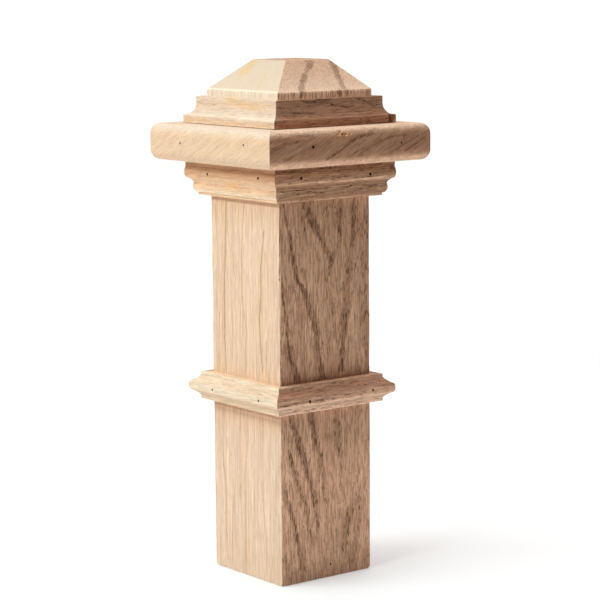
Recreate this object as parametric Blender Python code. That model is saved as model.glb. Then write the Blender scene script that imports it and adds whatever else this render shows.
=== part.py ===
"""Newel post of unfinished red oak.

A square post with a bevelled head carries four runs of moulding. Each run is four mitred lengths,
nailed round the post: a band half way up, a bed moulding, a round-edged collar on it, and a cove on
the collar, round the head.
Metres, +Z up, origin at the middle of the foot. The front is -Y and the left side is -X.
"""

import math

import bmesh
import bpy
from mathutils import Vector

# The post, one solid timber from foot to top
POST_WIDTH = 0.0889
POST_EASE = 0.0012
HEAD_PROUD = 0.00135
HEAD_EASE = 0.0004
HEAD_REVEAL = 0.0053
HEAD_SLOPE_RISE = 0.0231
TOP_FLAT_WIDTH = 0.0420
TOP_FLAT_OFFSET = 0.0011

# Where the mouldings stand, measured up from the foot
BAND_FOOT = 0.1359
BED_FOOT = 0.2993

# The band half way up
BAND_HEIGHT = 0.0219
BAND_NOSE_REACH = 0.0142
BAND_FILLET_REACH = 0.0071
BAND_FILLET_HEIGHT = 0.0028
BAND_NOSE_FACE = 0.0016
BAND_NOSE_ROUND = 0.0027
BAND_NOSE_SET_IN = 0.0011
BAND_HOLLOW = 0.0004
BAND_EDGE_EASE = 0.0006

# The bed moulding under the collar
BED_FILLET_REACH = 0.0070
BED_FILLET_HEIGHT = 0.0019
BED_BEAD_REACH = 0.0101
BED_BEAD_HEIGHT = 0.0076
BED_BEAD_NOSE = 0.0046
BED_NECK_REACH = 0.0094
BED_HOLLOW_RISE = 0.0038
BED_HOLLOW_REACH = 0.0127
BED_HOLLOW = 0.0004
BED_SWELL_REACH = 0.0148
BED_SWELL_HEIGHT = 0.0096
BED_SWELL_NOSE = 0.0040
BED_QUIRK = 0.0006
BED_TOP_REACH = 0.0141
BED_TOP_HEIGHT = 0.0045

# The collar, a board with both edges rounded
COLLAR_THICKNESS = 0.0286
COLLAR_REACH = 0.0337
COLLAR_ROUND_OUT = 0.0056
COLLAR_ROUND_UP = 0.0082

# The cove, which stands on the collar against the head
COVE_FILLET_REACH = 0.0135
COVE_FILLET_HEIGHT = 0.0064
COVE_SHOULDER = 0.0011
COVE_HOLLOW_HEIGHT = 0.0090
COVE_LIP_REACH = 0.0061
COVE_LIP_HEIGHT = 0.0053
COVE_EDGE_EASE = 0.0005
COVE_LOST_TIP = 0.0080

# Finishing nails, sunk below the surface: the two places on each length, from its middle
NAIL_HOLE_WIDTH = 0.0016
NAIL_HOLE_DEPTH = 0.0030
BAND_NAILS = (-0.0266, 0.0350)
BED_NAILS = (-0.0312, 0.0356)
COLLAR_NAILS = (-0.0371, 0.0470)
BED_NAIL_HEIGHT = 0.0183

# Joints between pieces
SEAT_GAP = 0.0003
MITRE_GAP = 0.0003

# How finely rounds are cut
ROUND_STEPS = 6
BEAD_STEPS = 4
EASE_STEPS = 3
NAIL_SIDES = 8

# Worked out from the sizes above
POST_HALF = POST_WIDTH / 2
HEAD_HALF = POST_HALF + HEAD_PROUD
BED_HEIGHT = (BED_FILLET_HEIGHT + BED_BEAD_HEIGHT + BED_HOLLOW_RISE + BED_SWELL_HEIGHT
              + BED_TOP_HEIGHT)
COLLAR_FOOT = BED_FOOT + BED_HEIGHT + SEAT_GAP
COVE_FOOT = COLLAR_FOOT + COLLAR_THICKNESS + SEAT_GAP
COVE_HEIGHT = COVE_FILLET_HEIGHT + COVE_HOLLOW_HEIGHT + COVE_LIP_HEIGHT
HEAD_ARRIS = COVE_FOOT + COVE_HEIGHT + HEAD_REVEAL
POST_TOP = HEAD_ARRIS + HEAD_SLOPE_RISE
SIDES = (("front", 0), ("right", 90), ("back", 180), ("left", 270))


def clear_scene():
    """Removes whatever the file opened with."""
    for thing in list(bpy.data.objects):
        bpy.data.objects.remove(thing, do_unlink=True)


def oak(name, colour, roughness):
    """Bare sanded oak of one colour."""
    material = bpy.data.materials.new(name)
    material.use_nodes = True
    shader = material.node_tree.nodes["Principled BSDF"]
    shader.inputs["Base Color"].default_value = (*colour, 1.0)
    shader.inputs["Roughness"].default_value = roughness
    shader.inputs["Metallic"].default_value = 0.0
    material.diffuse_color = (*colour, 1.0)
    return material


def add_object(name, mesh, material=None):
    """Puts a mesh in the scene under its piece's name."""
    piece = bpy.data.objects.new(name, mesh)
    bpy.context.scene.collection.objects.link(piece)
    if material and not mesh.materials:
        mesh.materials.append(material)
    return piece


def finish_mesh(bm, name):
    """Turns a bmesh into a mesh with its faces pointing out."""
    bmesh.ops.recalc_face_normals(bm, faces=bm.faces)
    mesh = bpy.data.meshes.new(name)
    bm.to_mesh(mesh)
    bm.free()
    return mesh


def shade_rounds(mesh, crease_degrees=35):
    """Shades a mesh's rounds smooth and leaves its arrises sharp."""
    mesh.shade_smooth()
    mesh.set_sharp_from_angle(angle=math.radians(crease_degrees))


def quarter(start, end, leaves, steps=BEAD_STEPS):
    """Points after start on a quarter round to end, which leaves start 'level' or 'upright'."""
    points = []
    for step in range(1, steps + 1):
        turn = math.pi / 2 * step / steps
        fast, slow = math.sin(turn), 1 - math.cos(turn)
        across, along = (fast, slow) if leaves == "level" else (slow, fast)
        points.append((start[0] + (end[0] - start[0]) * across,
                       start[1] + (end[1] - start[1]) * along))
    return points


def hollow(start, end, depth, steps=BEAD_STEPS):
    """Points after start on a shallow hollow to end, cut to the depth at its middle."""
    run = Vector(end) - Vector(start)
    inward = Vector((-run.y, run.x)).normalized()
    points = []
    for step in range(1, steps + 1):
        share = step / steps
        point = Vector(start) + run * share + inward * depth * 4 * share * (1 - share)
        points.append((point.x, point.y))
    return points


def band_section():
    """The band's section from its back at the foot, out and up: (reach from the post, height)."""
    nose_in = BAND_NOSE_REACH - BAND_NOSE_SET_IN
    middle = BAND_HEIGHT / 2
    nose_low = middle - BAND_NOSE_FACE / 2
    nose_high = middle + BAND_NOSE_FACE / 2
    fillet_top = BAND_HEIGHT - BAND_FILLET_HEIGHT
    low_slope_end = (nose_in, nose_low - BAND_NOSE_ROUND)
    high_slope_start = (nose_in, nose_high + BAND_NOSE_ROUND)
    section = [(SEAT_GAP, 0.0), (BAND_FILLET_REACH - BAND_EDGE_EASE, 0.0)]
    section += [(BAND_FILLET_REACH, BAND_EDGE_EASE), (BAND_FILLET_REACH, BAND_FILLET_HEIGHT)]
    section += hollow(section[-1], low_slope_end, BAND_HOLLOW)
    section += quarter(low_slope_end, (BAND_NOSE_REACH, nose_low), "level")
    section += [(BAND_NOSE_REACH, nose_high)]
    section += quarter(section[-1], high_slope_start, "upright")
    section += hollow(high_slope_start, (BAND_FILLET_REACH, fillet_top), BAND_HOLLOW)
    section += [(BAND_FILLET_REACH, BAND_HEIGHT - BAND_EDGE_EASE)]
    section += [(BAND_FILLET_REACH - BAND_EDGE_EASE, BAND_HEIGHT), (SEAT_GAP, BAND_HEIGHT)]
    return section


def bed_section():
    """The bed moulding: a fillet, a small bead, a neck, a swelled bead and a fillet at the top."""
    bead_foot = BED_FILLET_HEIGHT
    neck = bead_foot + BED_BEAD_HEIGHT
    swell_foot = neck + BED_HOLLOW_RISE
    top_foot = swell_foot + BED_SWELL_HEIGHT
    section = [(SEAT_GAP, 0.0), (BED_FILLET_REACH, 0.0), (BED_FILLET_REACH, bead_foot)]
    section += quarter(section[-1], (BED_BEAD_REACH, bead_foot + BED_BEAD_NOSE), "level")
    section += quarter(section[-1], (BED_NECK_REACH, neck), "upright")
    section += hollow(section[-1], (BED_HOLLOW_REACH, swell_foot), BED_HOLLOW)
    section += quarter(section[-1], (BED_SWELL_REACH, swell_foot + BED_SWELL_NOSE), "level")
    section += quarter(section[-1], (BED_TOP_REACH - BED_QUIRK, top_foot), "upright")
    section += [(BED_TOP_REACH, top_foot), (BED_TOP_REACH, BED_HEIGHT), (SEAT_GAP, BED_HEIGHT)]
    return section


def collar_section():
    """The collar: a flat face between two long rounds."""
    face_in = COLLAR_REACH - COLLAR_ROUND_OUT
    top = COLLAR_THICKNESS
    section = [(SEAT_GAP, 0.0), (face_in, 0.0)]
    section += quarter(section[-1], (COLLAR_REACH, COLLAR_ROUND_UP), "level", ROUND_STEPS)
    section += [(COLLAR_REACH, top - COLLAR_ROUND_UP)]
    section += quarter(section[-1], (face_in, top), "upright", ROUND_STEPS)
    section += [(SEAT_GAP, top)]
    return section


def cove_section():
    """The cove: a square fillet at the foot, a hollow, and a narrow lip."""
    hollow_foot = (COVE_FILLET_REACH - COVE_SHOULDER, COVE_FILLET_HEIGHT)
    hollow_top = (COVE_LIP_REACH, COVE_FILLET_HEIGHT + COVE_HOLLOW_HEIGHT)
    section = [(SEAT_GAP, 0.0), (COVE_FILLET_REACH, 0.0)]
    section += [(COVE_FILLET_REACH, COVE_FILLET_HEIGHT - COVE_EDGE_EASE)]
    section += [(COVE_FILLET_REACH - COVE_EDGE_EASE, COVE_FILLET_HEIGHT), hollow_foot]
    section += quarter(hollow_foot, hollow_top, "level", ROUND_STEPS)
    section += [(COVE_LIP_REACH, COVE_HEIGHT), (SEAT_GAP, COVE_HEIGHT)]
    return section


def mitred_length_mesh(name, section, post_half):
    """One length of moulding along X, facing -Y, with both ends cut to 45 degrees."""
    bm = bmesh.new()
    face = bm.faces.new([bm.verts.new((0.0, -(post_half + reach), height))
                         for reach, height in section])
    far_end = bmesh.ops.extrude_face_region(bm, geom=[face])["geom"]
    far_verts = {item for item in far_end if isinstance(item, bmesh.types.BMVert)}
    for vert in bm.verts:
        end = -vert.co.y - MITRE_GAP / math.sqrt(2)
        vert.co.x = end if vert in far_verts else -end
    mesh = finish_mesh(bm, name)
    shade_rounds(mesh)
    return mesh


def nail_holes_mesh(name, places, face_distance, height):
    """The cutter for one length's nail holes: a round peg at each place."""
    bm = bmesh.new()
    for place in places:
        peg = bmesh.ops.create_cone(bm, cap_ends=True, segments=NAIL_SIDES,
                                    radius1=NAIL_HOLE_WIDTH / 2, radius2=NAIL_HOLE_WIDTH / 2,
                                    depth=2 * NAIL_HOLE_DEPTH)
        for vert in peg["verts"]:
            across, along, deep = vert.co
            vert.co = (place + across, -face_distance + deep, height + along)
    return finish_mesh(bm, name)


def cut(piece, cutter):
    """Cuts a piece with a hidden cutter that moves with it."""
    cutter.parent = piece
    cutter.hide_render = True
    cutter.display_type = "WIRE"
    modifier = piece.modifiers.new(cutter.name, "BOOLEAN")
    modifier.operation = "DIFFERENCE"
    modifier.solver = "EXACT"
    modifier.object = cutter


def moulding_run(name, section, post_half, foot, material, nails=(), nose_reach=0.0, nail_height=0.0):
    """Four mitred lengths round the post, with their nail holes. Returns them by side."""
    length_mesh = mitred_length_mesh(name, section, post_half)
    holes_mesh = nail_holes_mesh(name + "_nail_holes", nails, post_half + nose_reach, nail_height)
    lengths = {}
    for side, degrees in SIDES:
        length = add_object(f"{name}_{side}", length_mesh, material)
        length.location = (0.0, 0.0, foot)
        length.rotation_euler = (0.0, 0.0, math.radians(degrees))
        if nails:
            cut(length, add_object(f"{name}_{side}_nail_holes", holes_mesh))
        lengths[side] = length
    return lengths


def eased_square(bm, half, ease, height, offset=0.0):
    """The points of a level square with rounded corners, in order round it."""
    verts = []
    for corner in range(4):
        middle = math.radians(45 + 90 * corner)
        across = math.copysign(half - ease, math.cos(middle)) + offset
        along = math.copysign(half - ease, math.sin(middle)) - offset
        for step in range(EASE_STEPS + 1):
            turn = math.radians(90 * corner + 90 * step / EASE_STEPS)
            verts.append(bm.verts.new((across + ease * math.cos(turn),
                                       along + ease * math.sin(turn), height)))
    return verts


def make_post():
    """The square post and its wider head, sloped on four sides to a small flat top."""
    bm = bmesh.new()
    outlines = [
        eased_square(bm, POST_HALF, POST_EASE, 0.0),
        eased_square(bm, POST_HALF, POST_EASE, COVE_FOOT),
        eased_square(bm, HEAD_HALF, HEAD_EASE, COVE_FOOT),
        eased_square(bm, HEAD_HALF, HEAD_EASE, HEAD_ARRIS),
        eased_square(bm, TOP_FLAT_WIDTH / 2, HEAD_EASE, POST_TOP, TOP_FLAT_OFFSET),
    ]
    for low, high in zip(outlines, outlines[1:]):
        for here, there in zip(range(-1, len(low) - 1), range(len(low))):
            bm.faces.new((low[here], low[there], high[there], high[here]))
    bm.faces.new(outlines[0])
    bm.faces.new(outlines[-1])
    return add_object("post", finish_mesh(bm, "post"), oak("post_oak", (0.62, 0.44, 0.28), 0.6))


def make_band():
    """The band half way up the post."""
    moulding_run("band", band_section(), POST_HALF, BAND_FOOT, oak("band_oak", (0.66, 0.45, 0.30), 0.6),
                 BAND_NAILS, BAND_NOSE_REACH, BAND_HEIGHT / 2)


def make_bed():
    """The bed moulding, which carries the collar."""
    moulding_run("bed", bed_section(), POST_HALF, BED_FOOT, oak("bed_oak", (0.60, 0.40, 0.26), 0.6),
                 BED_NAILS, BED_SWELL_REACH, BED_NAIL_HEIGHT)


def make_collar():
    """The collar on the bed moulding."""
    moulding_run("collar", collar_section(), POST_HALF, COLLAR_FOOT,
                 oak("collar_oak", (0.65, 0.45, 0.30), 0.6),
                 COLLAR_NAILS, COLLAR_REACH, COLLAR_THICKNESS / 2)


def make_cove():
    """The cove on the collar. Its front length has lost the tip of its fillet at the right."""
    lengths = moulding_run("cove", cove_section(), HEAD_HALF, COVE_FOOT,
                           oak("cove_oak", (0.60, 0.40, 0.27), 0.6))
    bm = bmesh.new()
    bmesh.ops.create_cube(bm, size=1.0)
    wide = 2 * COVE_LOST_TIP
    deep = 2 * COVE_FILLET_REACH
    bmesh.ops.scale(bm, vec=(wide, deep, 2 * COVE_FILLET_HEIGHT), verts=bm.verts)
    corner = HEAD_HALF + COVE_FILLET_REACH
    bmesh.ops.translate(bm, vec=(corner, -corner, 0.0), verts=bm.verts)
    cut(lengths["front"], add_object("cove_lost_tip", finish_mesh(bm, "cove_lost_tip")))


clear_scene()
make_post()
make_band()
make_bed()
make_collar()
make_cove()
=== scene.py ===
"""Newel post of bare red oak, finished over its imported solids.

The post is one square timber with a bevelled head. Four runs of moulding are mitred and nailed
round it: a band half way up, a bed moulding, a round-edged collar on it, and a cove on the collar.
Metres, +Z up, origin at the middle of the foot. The front is -Y and the left side is -X.
"""

import math
import random

import bmesh
import bpy
from mathutils import Euler, Matrix, Vector, noise


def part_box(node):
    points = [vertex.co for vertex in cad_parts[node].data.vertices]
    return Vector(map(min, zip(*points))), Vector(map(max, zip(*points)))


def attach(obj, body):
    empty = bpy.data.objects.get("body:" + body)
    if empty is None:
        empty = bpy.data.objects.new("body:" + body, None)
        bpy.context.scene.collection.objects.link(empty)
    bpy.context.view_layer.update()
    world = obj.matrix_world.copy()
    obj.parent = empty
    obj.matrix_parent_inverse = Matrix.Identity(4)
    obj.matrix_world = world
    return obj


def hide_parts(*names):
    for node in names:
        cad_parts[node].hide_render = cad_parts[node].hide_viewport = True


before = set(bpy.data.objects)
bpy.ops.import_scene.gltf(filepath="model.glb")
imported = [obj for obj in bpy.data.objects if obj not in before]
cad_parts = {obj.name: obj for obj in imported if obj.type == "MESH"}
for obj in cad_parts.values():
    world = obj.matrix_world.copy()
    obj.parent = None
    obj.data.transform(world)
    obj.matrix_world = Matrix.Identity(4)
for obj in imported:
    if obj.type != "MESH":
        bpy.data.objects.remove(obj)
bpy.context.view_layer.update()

MM = 0.001
HAIR = 0.0001
SIDES = (("front", 0), ("right", 90), ("back", 180), ("left", 270))

# The timber
POST_EASE = 0.0013
HEAD_EASE = 0.0004
FOOT_EASE = 0.0004
HEAD_REVEAL = 0.0053
TOP_FLAT_WIDTH = 0.0420
TOP_FLAT_OFFSET = 0.0011
POST_SLICE = 0.006
ARRIS_WEAR = 0.00045
FOOT_KNOCKS = ((1, -1, 0.0020), (-1, 1, 0.0022), (1, 1, 0.0016), (-1, -1, 0.0007))

# The band half way up
BAND_FILLET_REACH = 0.0071
BAND_FILLET_HEIGHT = 0.0028
BAND_NOSE_FACE = 0.0016
BAND_NOSE_ROUND = 0.0027
BAND_NOSE_SET_IN = 0.0011
BAND_HOLLOW = 0.0004
BAND_EDGE_EASE = 0.0006

# The bed moulding
BED_FILLET_REACH = 0.0070
BED_FILLET_HEIGHT = 0.0019
BED_BEAD_REACH = 0.0101
BED_BEAD_HEIGHT = 0.0076
BED_BEAD_NOSE = 0.0046
BED_NECK_REACH = 0.0094
BED_HOLLOW_RISE = 0.0038
BED_HOLLOW_REACH = 0.0127
BED_HOLLOW = 0.0004
BED_SWELL_HEIGHT = 0.0096
BED_SWELL_NOSE = 0.0040
BED_QUIRK = 0.0006
BED_TOP_REACH = 0.0141

# The collar
COLLAR_ROUND_OUT = 0.0056
COLLAR_ROUND_UP = 0.0082

# The cove
COVE_FILLET_HEIGHT = 0.0064
COVE_SHOULDER = 0.0011
COVE_HOLLOW_HEIGHT = 0.0090
COVE_LIP_REACH = 0.0061
COVE_EDGE_EASE = 0.0005
COVE_LOST_TIP = 0.0080

# How the lengths meet
PACKED_SEAT_GAP = 0.0003
SEAT_GAP = 0.00008
MITRE_GAP = 0.00012
BLANK_LENGTH = 0.2
LENGTH_ARRIS = 0.00022

# Finishing nails, sunk below the surface
NAIL_HOLE_RADIUS = 0.00100
NAIL_HOLE_DEPTH = 0.0026

# Steps in each quarter round and hollow
ROUND_STEPS = 12
BEAD_STEPS = 8
EASE_STEPS = 3

# The grain: how far along it the pith's lean and bow are measured, in millimetres, and its middle brightness
BOW_SPAN = 150.0
MIDDLE_BODY = 0.445

# The drawn figure: the longest way that a line can run, where a board's middle is on that way, and how soon
# a line's ends fade, in millimetres
LINE_SPAN = 410.0
LINE_START = 100.0
LINE_FADE = 3

CORNERS = ((-1, -1), (1, -1), (1, 1), (-1, 1))


def node_levels(node):
    """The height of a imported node's foot and top."""
    low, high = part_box(node)
    return low.z, high.z


POST_HALF = -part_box("collar_front")[1].y - PACKED_SEAT_GAP
HEAD_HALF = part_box("post")[1].x
POST_TOP = node_levels("post")[1]
BAND_FOOT, BAND_TOP = node_levels("band_front")
BED_FOOT, BED_TOP = node_levels("bed_front")
COLLAR_FOOT, COLLAR_TOP = node_levels("collar_front")
COVE_FOOT, COVE_TOP = node_levels("cove_front")
BAND_NOSE_REACH = -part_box("band_front")[0].y - POST_HALF
BED_SWELL_REACH = -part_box("bed_front")[0].y - POST_HALF
COLLAR_REACH = -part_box("collar_front")[0].y - POST_HALF
COVE_FILLET_REACH = -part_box("cove_front")[0].y - HEAD_HALF
HEAD_ARRIS = COVE_TOP + HEAD_REVEAL


def quarter(start, end, leaves, steps=BEAD_STEPS):
    """Points after start on a quarter round to end, which leaves start 'level' or 'upright'."""
    points = []
    for step in range(1, steps + 1):
        turn = math.pi / 2 * step / steps
        fast, slow = math.sin(turn), 1 - math.cos(turn)
        across, along = (fast, slow) if leaves == "level" else (slow, fast)
        points.append((start[0] + (end[0] - start[0]) * across,
                       start[1] + (end[1] - start[1]) * along))
    return points


def hollow(start, end, depth, steps=BEAD_STEPS):
    """Points after start on a shallow hollow to end, cut to the depth at its middle."""
    run = Vector(end) - Vector(start)
    inward = Vector((-run.y, run.x)).normalized()
    points = []
    for step in range(1, steps + 1):
        share = step / steps
        point = Vector(start) + run * share + inward * depth * 4 * share * (1 - share)
        points.append((point.x, point.y))
    return points


def band_section():
    """The band's section from its back at the foot, out and up: (reach from the post, height)."""
    height = BAND_TOP - BAND_FOOT
    nose_in = BAND_NOSE_REACH - BAND_NOSE_SET_IN
    nose_low = height / 2 - BAND_NOSE_FACE / 2
    nose_high = height / 2 + BAND_NOSE_FACE / 2
    low_slope_end = (nose_in, nose_low - BAND_NOSE_ROUND)
    high_slope_start = (nose_in, nose_high + BAND_NOSE_ROUND)
    section = [(SEAT_GAP, 0.0), (BAND_FILLET_REACH - BAND_EDGE_EASE, 0.0)]
    section += quarter(section[-1], (BAND_FILLET_REACH, BAND_EDGE_EASE), "level", EASE_STEPS)
    section += [(BAND_FILLET_REACH, BAND_FILLET_HEIGHT)]
    section += hollow(section[-1], low_slope_end, BAND_HOLLOW)
    section += quarter(low_slope_end, (BAND_NOSE_REACH, nose_low), "level")
    section += [(BAND_NOSE_REACH, nose_high)]
    section += quarter(section[-1], high_slope_start, "upright")
    section += hollow(section[-1], (BAND_FILLET_REACH, height - BAND_FILLET_HEIGHT), BAND_HOLLOW)
    section += [(BAND_FILLET_REACH, height - BAND_EDGE_EASE)]
    section += quarter(section[-1], (BAND_FILLET_REACH - BAND_EDGE_EASE, height), "upright", EASE_STEPS)
    section += [(SEAT_GAP, height)]
    return section


def bed_section():
    """The bed moulding: a fillet, a small bead, a neck, a swelled bead and a fillet at the top."""
    height = BED_TOP - BED_FOOT
    bead_foot = BED_FILLET_HEIGHT
    neck = bead_foot + BED_BEAD_HEIGHT
    swell_foot = neck + BED_HOLLOW_RISE
    top_foot = swell_foot + BED_SWELL_HEIGHT
    section = [(SEAT_GAP, 0.0), (BED_FILLET_REACH, 0.0), (BED_FILLET_REACH, bead_foot)]
    section += quarter(section[-1], (BED_BEAD_REACH, bead_foot + BED_BEAD_NOSE), "level")
    section += quarter(section[-1], (BED_NECK_REACH, neck), "upright")
    section += hollow(section[-1], (BED_HOLLOW_REACH, swell_foot), BED_HOLLOW)
    section += quarter(section[-1], (BED_SWELL_REACH, swell_foot + BED_SWELL_NOSE), "level")
    section += quarter(section[-1], (BED_TOP_REACH - BED_QUIRK, top_foot), "upright")
    section += [(BED_TOP_REACH, top_foot), (BED_TOP_REACH, height), (SEAT_GAP, height)]
    return section


def collar_section():
    """The collar: a flat face between two long rounds."""
    height = COLLAR_TOP - COLLAR_FOOT
    face_in = COLLAR_REACH - COLLAR_ROUND_OUT
    section = [(SEAT_GAP, 0.0), (face_in, 0.0)]
    section += quarter(section[-1], (COLLAR_REACH, COLLAR_ROUND_UP), "level", ROUND_STEPS)
    section += [(COLLAR_REACH, height - COLLAR_ROUND_UP)]
    section += quarter(section[-1], (face_in, height), "upright", ROUND_STEPS)
    section += [(SEAT_GAP, height)]
    return section


def cove_section():
    """The cove: a square fillet at the foot, a hollow, and a narrow lip."""
    height = COVE_TOP - COVE_FOOT
    hollow_foot = (COVE_FILLET_REACH - COVE_SHOULDER, COVE_FILLET_HEIGHT)
    hollow_top = (COVE_LIP_REACH, COVE_FILLET_HEIGHT + COVE_HOLLOW_HEIGHT)
    section = [(SEAT_GAP, 0.0), (COVE_FILLET_REACH, 0.0)]
    section += [(COVE_FILLET_REACH, COVE_FILLET_HEIGHT - COVE_EDGE_EASE)]
    section += quarter(section[-1], (COVE_FILLET_REACH - COVE_EDGE_EASE, COVE_FILLET_HEIGHT), "upright",
                       EASE_STEPS)
    section += [hollow_foot]
    section += quarter(hollow_foot, hollow_top, "level", ROUND_STEPS)
    section += [(COVE_LIP_REACH, height), (SEAT_GAP, height)]
    return section


def proud_arrises(bm, sharper_than=35):
    """The edges that stand proud, and are sharper than that many degrees."""
    limit = math.radians(sharper_than)
    return [edge for edge in bm.edges if edge.is_manifold and edge.calc_face_angle_signed() > limit]


def saw(bm, place, way, cut_off=False):
    """Saws through a mesh along a plane. Where it cuts off what is beyond, it closes the cut."""
    sawn = bmesh.ops.bisect_plane(bm, geom=bm.verts[:] + bm.edges[:] + bm.faces[:], plane_co=place,
                                  plane_no=way, clear_outer=cut_off)
    if cut_off:
        bmesh.ops.edgeloop_fill(bm, edges=[item for item in sawn["geom_cut"]
                                           if isinstance(item, bmesh.types.BMEdge)])


def ease(bm, edges, width, segments=2):
    """Takes the sharpness off the edges."""
    bmesh.ops.bevel(bm, geom=edges, offset=width, offset_type="OFFSET", affect="EDGES",
                    segments=segments, profile=0.5, material=-1, clamp_overlap=True)


def mesh_from(bm, name):
    """Turns a bmesh into a mesh with its faces pointing out."""
    bmesh.ops.recalc_face_normals(bm, faces=bm.faces)
    mesh = bpy.data.meshes.new(name)
    bm.to_mesh(mesh)
    bm.free()
    return mesh


def place_in_scene(name, data):
    """Puts a mesh, a lamp or a camera in the scene."""
    made = bpy.data.objects.new(name, data)
    bpy.context.scene.collection.objects.link(made)
    return made


def add_piece(name, mesh, materials):
    """Puts a mesh in the scene with its materials."""
    for material in materials:
        mesh.materials.append(material)
    return place_in_scene(name, mesh)


def cut_away(piece, cutter_meshes, bared):
    """Cuts shapes out of a piece for good. What they bare takes the piece's material of that number."""
    for cutter_mesh in cutter_meshes:
        cutter = add_piece("cutter", cutter_mesh, piece.data.materials)
        for face in cutter_mesh.polygons:
            face.material_index = bared
        modifier = piece.modifiers.new("cut", "BOOLEAN")
        modifier.operation = "DIFFERENCE"
        modifier.solver = "EXACT"
        modifier.material_mode = "INDEX"
        modifier.object = cutter
        bpy.context.view_layer.update()
        whole = bpy.data.meshes.new_from_object(
            piece.evaluated_get(bpy.context.evaluated_depsgraph_get()))
        piece.modifiers.clear()
        old = piece.data
        whole.name = old.name
        piece.data = whole
        bpy.data.objects.remove(cutter)
        for mesh in (old, cutter_mesh):
            bpy.data.meshes.remove(mesh)


def shade_rounds(piece, crease_degrees=32):
    """Shades the rounds smooth and leaves the arrises sharp."""
    piece.data.shade_smooth()
    piece.data.set_sharp_from_angle(angle=math.radians(crease_degrees))
    modifier = piece.modifiers.new("even_shading", "WEIGHTED_NORMAL")
    modifier.keep_sharp = True


def nail_hole(place, face_distance, height, size, set_back):
    """The cutter for one sunk nail on the front, at its place along the length."""
    bm = bmesh.new()
    hole = bmesh.ops.create_cone(bm, cap_ends=True, segments=14, radius1=NAIL_HOLE_RADIUS * size,
                                 radius2=NAIL_HOLE_RADIUS * size * 0.86, depth=2 * NAIL_HOLE_DEPTH)
    for vert in hole["verts"]:
        across, along, deep = vert.co
        ragged = 1 + 0.35 * noise.noise(Vector((math.atan2(along, across) * 1.5, place * 900, height * 900)))
        vert.co = (place + across * ragged, set_back - face_distance + deep, height + along * ragged * 1.1)
    bmesh.ops.triangulate(bm, faces=bm.faces)
    return mesh_from(bm, "nail_hole")


def torn_pit(middle, reach, seed):
    """The cutter for a torn spot on the front: a rough lump at its middle that reaches so far each way."""
    bm = bmesh.new()
    lump = bmesh.ops.create_icosphere(bm, subdivisions=3, radius=1.0)
    for vert in lump["verts"]:
        rough = 1 + 0.45 * noise.noise(vert.co * 2.3 + Vector((seed, 0, 0)))
        vert.co = Vector(part * along * rough for part, along in zip(vert.co, reach)) + Vector(middle)
    return mesh_from(bm, "torn_pit")


def lost_tip():
    """The cutter for the tip that has broken off the cove's front length, at its right end."""
    bm = bmesh.new()
    block = bmesh.ops.create_cube(bm, size=2.0)
    bmesh.ops.subdivide_edges(bm, edges=bm.edges, cuts=5, use_grid_fill=True)
    reach = (COVE_LOST_TIP, COVE_FILLET_REACH, COVE_FILLET_HEIGHT)
    middle = Vector((HEAD_HALF + COVE_FILLET_REACH, -(HEAD_HALF + COVE_FILLET_REACH), COVE_FOOT))
    for vert in bm.verts:
        inner = vert.co.x < -0.99 and -0.9 < vert.co.y < 0.9
        vert.co = Vector(part * along for part, along in zip(vert.co, reach)) + middle
        if inner:
            vert.co.x += 0.0005 * abs(noise.noise(vert.co * 900))
    bmesh.ops.triangulate(bm, faces=bm.faces)
    return mesh_from(bm, "lost_tip")


def mitred_length(name, section, half, foot):
    """One length along the front: its section drawn out, and both ends cut to 45 degrees."""
    bm = bmesh.new()
    outline = [bm.verts.new((-BLANK_LENGTH / 2, -(half + reach), foot + height))
               for reach, height in section]
    blank_end = bm.faces.new(outline)
    drawn = bmesh.ops.extrude_face_region(bm, geom=[blank_end])["geom"]
    bmesh.ops.translate(bm, vec=(BLANK_LENGTH, 0, 0),
                        verts=[item for item in drawn if isinstance(item, bmesh.types.BMVert)])
    for hand in (1, -1):
        saw(bm, (0, -MITRE_GAP / math.sqrt(2), 0), (hand, 1, 0), True)
    bmesh.ops.recalc_face_normals(bm, faces=bm.faces)
    ease(bm, proud_arrises(bm), LENGTH_ARRIS)
    return mesh_from(bm, name)


def post_mesh():
    """The timber: a square shaft and a slightly wider head, sloped on four sides to a flat top."""
    bm = bmesh.new()
    rings = [[bm.verts.new((across * half + shift, along * half - shift, height))
              for across, along in CORNERS]
             for half, shift, height in ((POST_HALF, 0, 0), (POST_HALF, 0, COVE_FOOT),
                                         (HEAD_HALF, 0, COVE_FOOT), (HEAD_HALF, 0, HEAD_ARRIS),
                                         (TOP_FLAT_WIDTH / 2, TOP_FLAT_OFFSET, POST_TOP))]
    for end in (rings[0], rings[-1]):
        bm.faces.new(end)
    for low, high in zip(rings, rings[1:]):
        for corner in range(4):
            bm.faces.new((low[corner - 1], low[corner], high[corner], high[corner - 1]))
    bmesh.ops.recalc_face_normals(bm, faces=bm.faces)
    proud = proud_arrises(bm, 20)
    levels = [sorted(vert.co.z for vert in edge.verts) for edge in proud]
    at_foot, at_head = HAIR, COVE_FOOT - HAIR
    for chosen, width, segments in (
            ([low > at_head for low, high in levels], HEAD_EASE, 2),
            ([low < at_foot and high > at_head for low, high in levels], POST_EASE, 4),
            ([high < at_foot for low, high in levels], FOOT_EASE, 2)):
        ease(bm, [edge for edge, taken in zip(proud, chosen) if taken and edge.is_valid], width, segments)
    for slice_number in range(1, int(COVE_FOOT / POST_SLICE)):
        saw(bm, (0, 0, slice_number * POST_SLICE), (0, 0, 1))
    knock_foot(bm)
    wear_arrises(bm)
    return mesh_from(bm, "post")


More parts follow.
